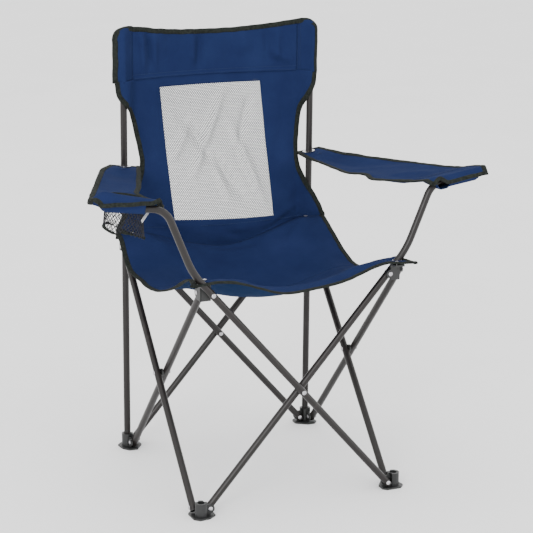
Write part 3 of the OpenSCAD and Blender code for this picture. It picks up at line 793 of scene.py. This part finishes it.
for part_name, front in (("front", True), ("rear", False)):
    x, y = seat_grid(front)
    at = seat_surface(x, y)
    uv = np.stack([x, y], axis=-1)
    if front:
        at, uv, x, y = at[::-1], uv[::-1], x[::-1], y[::-1]
    body = "seat_front" if front else "seat_rear"
    n = toward(normals_of(at), TOP)
    hole = np.zeros((at.shape[0] - 1, at.shape[1] - 1), bool)
    cx, cy = x[:-1, :-1] + np.diff(x, axis=1)[:-1] / 2, y[:-1, :-1] + np.diff(y, axis=0)[:, :-1] / 2
    posts = [(195.4, -185.5), (-195.4, -202.5)] if front else [(194, 194), (-194, 194)]
    for hx, hy in posts:
        hole |= (np.hypot(cx - hx, cy - hy) < (FRONT_HOLE if front else REAR_HOLE))
    piece = belongs(body, cloth("seat_cloth_" + part_name, at, uv, TOP, skip=hole))
    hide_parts("seat_" + part_name + "_panel")
    for side_name, col, sign in (("right", 0, 1), ("left", -1, -1)):
        path = at[:, col]
        inward = np.zeros_like(path) + (sign, 0, 0)
        belongs(body, tape("seat_tape_%s_%s" % (part_name, side_name), path, n[:, col], inward,
                           seed=71.0 + sign + front))
    if front:
        belongs(body, tape("seat_tape_front", at[0], n[0], np.zeros_like(at[0]) + (0, 1, 0), seed=77.0))

# ---------------------------------------------------------------- armrests

# Outlines: distance back from the sleeve, and distance out along it
OUTER = {"left": ([-21, 8, 54, 112, 200, 316, 397], [82, 90, 67, 36, 3, -40, -60]),
         "right": ([-21, 0, 30, 60, 90, 133, 200, 290, 355, 414],
                   [102, 113, 105, 95, 82, 64, 36, -2, -30, -68])}
INNER = {"left": ([-21, -8, 22, 46, 56, 66, 120, 250, 340, 397],
                  [-30, -35, -47, -60, -80, -92, -99, -108, -112, -111]),
         "right": ([-21, 0, 40, 76, 105, 127, 200, 286, 414],
                   [-4, -12, -33, -38, -29, -24, -51, -83, -130])}
FRONT_B = -21.0
CUP_A, CUP_B, CUP_R = 24.0, 76.0, 33.0
ARM_CREASES = {
    "left": [(-60, 110, 20, 60, 12, 2.0), (-80, 220, -10, 150, 14, 1.6),
             (-90, 330, -60, 220, 10, -1.6), (30, 60, 60, 10, 10, 2.0), (-70, 60, -20, 30, 8, 2.4),
             (-40, 280, -20, 200, 12, 1.4)],
    "right": [(-60, 300, 10, 190, 18, 1.6), (40, 180, 0, 120, 14, -1.4), (70, -8, 96, 4, 8, 1.6),
              (104, 50, 52, 64, 6, -4.5)],
}


def bridge(b, radius, front_c, rear_b):
    """Height of a sheet laid over the tube, from its front edge to where it is level behind."""
    spread = np.arccos(radius / np.hypot(FRONT_B, front_c))
    touch = np.arctan2(front_c, FRONT_B) - spread
    tx, tz = radius * np.cos(touch), radius * np.sin(touch)
    rear_x = radius * radius / rear_b
    tall = radius * math.sqrt(1 - (radius / rear_b) ** 2)
    front_line = front_c + (tz - front_c) * (b - FRONT_B) / (tx - FRONT_B)
    rear_line = tall * np.maximum(0, (rear_b - b) / (rear_b - rear_x))
    arc = np.sqrt(np.maximum(0, radius**2 - b**2))
    return np.where(b < tx, front_line, np.where(b > rear_x, rear_line, arc))


def armrest_height(side_name, a, b):
    """The top layer: tight over the tube on the left, a loose standing pouch on the right."""
    if side_name == "left":
        arch = 11 * np.exp(-((a + 17) / 9.5) ** 2) * np.exp(-((b - FRONT_B) / 16) ** 2)
        lifted = 8 * (1 - step(-92, -50, a)) * (1 - step(110, 200, b))
        return bridge(b, 8.2, -1.0, 46.0) + arch + lifted
    hem = 12.5 - 0.095 * a + 6 * np.exp(-((a + 6) / 10) ** 2)
    crest = 16 + 0.08 * a - 15 * step(92, 114, a)
    rise = np.sin(math.pi / 2 * np.clip((b - FRONT_B) / (2 - FRONT_B), 0, 1)) ** 0.9
    fall = 1 - step(2, 28, b)
    behind = crest * fall - 2 * (1 - fall) * (1 - step(60, 200, b))
    return np.where(b < 2, hem + (crest - hem) * rise, behind)


def armrest_world(side_name, a, b, c):
    sign = 1 if side_name == "left" else -1
    x = SLEEVE_X + a * math.cos(RISE) - c * math.sin(RISE)
    z = SLEEVE_Z + a * math.sin(RISE) + c * math.cos(RISE)
    return np.stack([x * sign, ARM_Y[side_name] + b + 0 * a, z], axis=-1)


def armrest(side_name):
    rear = ARM_REAR[side_name]
    end = rear + 17
    body = side_name + "_armrest"
    sign = 1 if side_name == "left" else -1
    b = np.concatenate([np.linspace(FRONT_B, 60, 40), np.linspace(60, end, 84)[1:]])
    v = np.linspace(0, 1, 46)
    B, V = np.meshgrid(b, v, indexing="ij")
    inner, outer = smooth_table(*INNER[side_name], B), smooth_table(*OUTER[side_name], B)
    a = inner + (outer - inner) * V
    rough = armrest_world(side_name, a, B, 0 * a)
    c = armrest_height(side_name, a, B) + creases(a, B, ARM_CREASES[side_name])
    c = c + (1.6 * rumple(rough, 55.0, 81.0) + 0.4 * rumple(rough, 19.0, 5.5)) * step(0, 40, B) \
        - 7.0 * np.sin(math.pi * V) * step(100, 230, B) * (1 - step(end - 90, end - 30, B))
    at = armrest_world(side_name, a, B, c)
    n = toward(normals_of(at), TOP)
    mid_a = (a[:-1, :-1] + a[1:, 1:]) / 2
    mid_b = (B[:-1, :-1] + B[1:, 1:]) / 2
    eyelet_a = (POST - SLEEVE_X) / math.cos(RISE)
    hole = np.hypot(mid_a - eyelet_a, mid_b - rear) < 8.6
    if side_name == "right":
        hole |= np.hypot(mid_a - CUP_A, mid_b - CUP_B) < CUP_R - 1
    top = belongs(body, cloth("armrest_cloth_" + side_name, at, np.stack([a, B], axis=-1), TOP,
                              skip=hole))
    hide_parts("armrest_" + side_name)

    # the under layer: it starts below the front tape, passes under the tube and joins the top
    under_b = np.linspace(FRONT_B + 2, 62 if side_name == "left" else 38, 30)
    B2, V2 = np.meshgrid(under_b, v, indexing="ij")
    inner2, outer2 = smooth_table(*INNER[side_name], B2), smooth_table(*OUTER[side_name], B2)
    short = 2 if side_name == "left" else 26
    a2 = inner2 + short + (outer2 - inner2 - short - 8) * V2
    joined = step(12, under_b[-1], B2)
    if side_name == "left":
        low = -9.3 - 1.5 * np.exp(-((B2 - 2) / 12.0) ** 2)
        sewn = np.maximum((1 - step(-19, -11, B2)) * step(-4, 8, a2), 1 - step(-28, -16, a2))
    else:
        low = -8.0 + 11.0 * (1 - step(-19, -5, B2))
        sewn = (1 - step(-19, -11, B2)) * step(-4, 8, a2)
    joined = np.maximum(np.maximum(joined, sewn), step(-26, -9, a2 - outer2))
    c2 = low + (armrest_height(side_name, a2, B2) - 1.9 - low) * joined
    under = armrest_world(side_name, a2, B2, c2)
    near = np.hypot((a2[:-1, :-1] + a2[1:, 1:]) / 2 + 27, (B2[:-1, :-1] + B2[1:, 1:]) / 2 * 1.3) < 12
    belongs(body, cloth("armrest_under_" + side_name, under, np.stack([a2, B2], axis=-1), UNDER,
                        skip=near))

    zero = np.zeros_like(at[:, 0])
    belongs(body, tape("armrest_tape_inner_" + side_name, at[:, 0], n[:, 0], zero + (sign, 0, 0),
                       seed=91.0))
    belongs(body, tape("armrest_tape_outer_" + side_name, at[:, -1], n[:, -1], zero - (sign, 0, 0),
                       seed=93.0))
    zero = np.zeros_like(at[0])
    belongs(body, tape("armrest_tape_front_" + side_name, at[0], n[0] * 0.5 + (0, -1, 0),
                       zero + (0, 0, 1), width=7.5, seed=95.0))
    belongs(body, tape("armrest_tape_rear_" + side_name, at[-1], n[-1], zero + (0, -1, 0), seed=97.0))
    rows = [(at[k] + n[k] * 0.9, n[k]) for k in (24, 26)]
    tack_a = np.linspace(eyelet_a + 6, eyelet_a + 16, 6)
    tack = armrest_world(side_name, tack_a, np.full(6, rear - 26), 0)
    tack = tack + (0, 0, np.interp(rear - 26, b, c[:, 20]) + 1.2)
    rows += [(tack + (0, k, 0), np.zeros_like(tack) + TOP) for k in (-0.8, 0, 0.8)]
    belongs(body, threads("armrest_stitches_" + side_name, rows))


armrest("left")
armrest("right")

# ---------------------------------------------------------------- cup holder

def strand_mesh(name, curves, radius=0.6, sides=4):
    """Thin strands of net, one along each curve."""
    points, faces = [], []
    for path in curves:
        path = np.asarray(path, float)
        along = unit(np.gradient(path, axis=0))
        spare = np.where(np.abs(along[:, 2:3]) > 0.9, np.array([[1.0, 0, 0]]), np.array([[0, 0, 1.0]]))
        side = unit(np.cross(along, spare))
        out = np.cross(side, along)
        base = len(points)
        for p, s, o in zip(path, side, out):
            for k in range(sides):
                w = 2 * math.pi * k / sides
                points.append(p + (s * math.cos(w) + o * math.sin(w)) * radius)
        for j in range(len(path) - 1):
            p0, p1 = base + j * sides, base + (j + 1) * sides
            faces += [(p0 + k, p0 + (k + 1) % sides, p1 + (k + 1) % sides, p1 + k) for k in range(sides)]
    return make(name, np.array(points), faces, [NET])


def low_edge(angle):
    """The net's lower edge: pinched flat on the inner side, an open loop on the outer side."""
    a = 18 + 39 * np.cos(angle)
    loop = step(16, 44, a)
    b = CUP_B + np.sin(angle) * (5 + 12 * loop)
    c = -58 + 9 * np.cos(angle) + 7.5 * np.sin(angle) * loop
    return a, b, c


def net_point(angle, depth):
    a, b, c = low_edge(angle)
    share = depth**1.4
    a = (CUP_A + CUP_R * np.cos(angle)) * (1 - share) + a * share
    b = (CUP_B + CUP_R * np.sin(angle)) * (1 - share) + b * share
    return armrest_world("right", a, b, -1.0 * (1 - depth) + c * depth)


strands = 34
net_lines = []
depths = np.linspace(0, 1, 15)
for way in (-1, 1):
    for k in range(strands):
        angles = 2 * math.pi * k / strands + way * depths * 1.15
        net_lines.append(net_point(angles, depths))
net = belongs("right_armrest", strand_mesh("cup_net_wall", net_lines))
base_lines = []
for angle in np.linspace(0.25, math.pi - 0.25, 12):
    ends = np.stack(low_edge(np.array([angle, -angle])))
    t = np.linspace(0, 1, 6)
    a, b, c = ends[:, :1] + (ends[:, 1:] - ends[:, :1]) * t
    base_lines.append(armrest_world("right", a, b, c - 3 * np.sin(math.pi * t)))
belongs("right_armrest", strand_mesh("cup_net_base", base_lines))
angles = np.linspace(0, 2 * math.pi, 73)[:-1]
low_ring = net_point(angles, np.ones_like(angles))
top_ring = net_point(angles, np.zeros_like(angles))


def hoop(name, path, half_wide, half_thick):
    along = unit(np.roll(path, -1, axis=0) - np.roll(path, 1, axis=0))
    out = unit(path - path.mean(axis=0))
    side = np.cross(along, out)
    return sweep(name, path, side, out, oval(half_wide, half_thick), [TAPE], closed=True)


belongs("right_armrest", hoop("cup_hem_low", low_ring, 3.2, 1.7))
rim = hoop("cup_hem_top", top_ring + (0, 0, 1.5), 4.2, 1.6)
belongs("right_armrest", rim)
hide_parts("cup_net")
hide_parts("cup_rim")

# ---------------------------------------------------------------- small blank tag under the armrest

v, u = np.meshgrid(np.linspace(0, 1, 9), np.linspace(-1, 1, 7), indexing="ij")
tag_at = armrest_world("right", -9 + 13 * v - 0.7 * u + u * u, 38 + 5.1 * u - 4 * v,
                       -11 - 19 * v + 0.8 * u)
belongs("right_armrest", cloth("blank_tag", tag_at, np.stack([u * 7, v * 20], axis=-1), (-1, 0, 0),
                               mats=(TAG,), thick=0.6))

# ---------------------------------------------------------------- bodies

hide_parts("back_panel", "back_band")
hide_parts("back_mesh")
for body, members in PIECES.items():
    for piece in members:
        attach(piece, body)
        if piece.name.startswith("pocket"):      # a pocket stays as it is, round its post
            continue
        if body == "rear_left_post":
            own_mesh(piece)
        elif body.startswith("seat"):
            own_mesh(piece)
        elif body == "left_armrest":
            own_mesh(piece)
        elif body == "right_armrest":
            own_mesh(piece)

# ---------------------------------------------------------------- floor and light

floor_mat, nodes, links, shader = new_material("studio_floor")
speckle = add(nodes, "ShaderNodeTexNoise", Scale=3.0, Detail=2.0)
by_object(nodes, links, speckle)
greys = [(0.3, (0.92, 0.92, 0.92)), (0.7, (0.94, 0.94, 0.94))]
links.new(ramp(nodes, links, speckle.outputs["Fac"], greys), shader.inputs["Base Color"])
shader.inputs["Roughness"].default_value = 0.9
floor_mesh = bpy.data.meshes.new("floor")
floor_mesh.from_pydata([(-30, -30, 0), (30, -30, 0), (30, 30, 0), (-30, 30, 0)], [], [(0, 1, 2, 3)])
floor_mesh.materials.append(floor_mat)
floor = bpy.data.objects.new("floor", floor_mesh)
bpy.context.scene.collection.objects.link(floor)

world = bpy.data.worlds.new("studio")
bpy.context.scene.world = world
world.use_nodes = True
world.node_tree.nodes["Background"].inputs["Color"].default_value = (1, 1, 1, 1)
world.node_tree.nodes["Background"].inputs["Strength"].default_value = 1.9


def soft_box(name, place, look_at, size, power):
    data = bpy.data.lights.new(name, "AREA")
    data.shape = "RECTANGLE"
    data.size, data.size_y = size
    data.energy = power
    lamp = bpy.data.objects.new(name, data)
    bpy.context.scene.collection.objects.link(lamp)
    lamp.location = place
    lamp.rotation_euler = (Vector(look_at) - Vector(place)).to_track_quat("-Z", "Y").to_euler()


soft_box("key", (-2.6, -2.9, 1.9), (0, 0, 0.45), (1.4, 1.4), 95)
soft_box("fill", (2.8, -2.4, 1.2), (0, 0, 0.45), (2.0, 2.0), 18)
soft_box("back_light", (0.6, 2.6, 2.6), (0, 0, 0.5), (2.0, 1.2), 8)
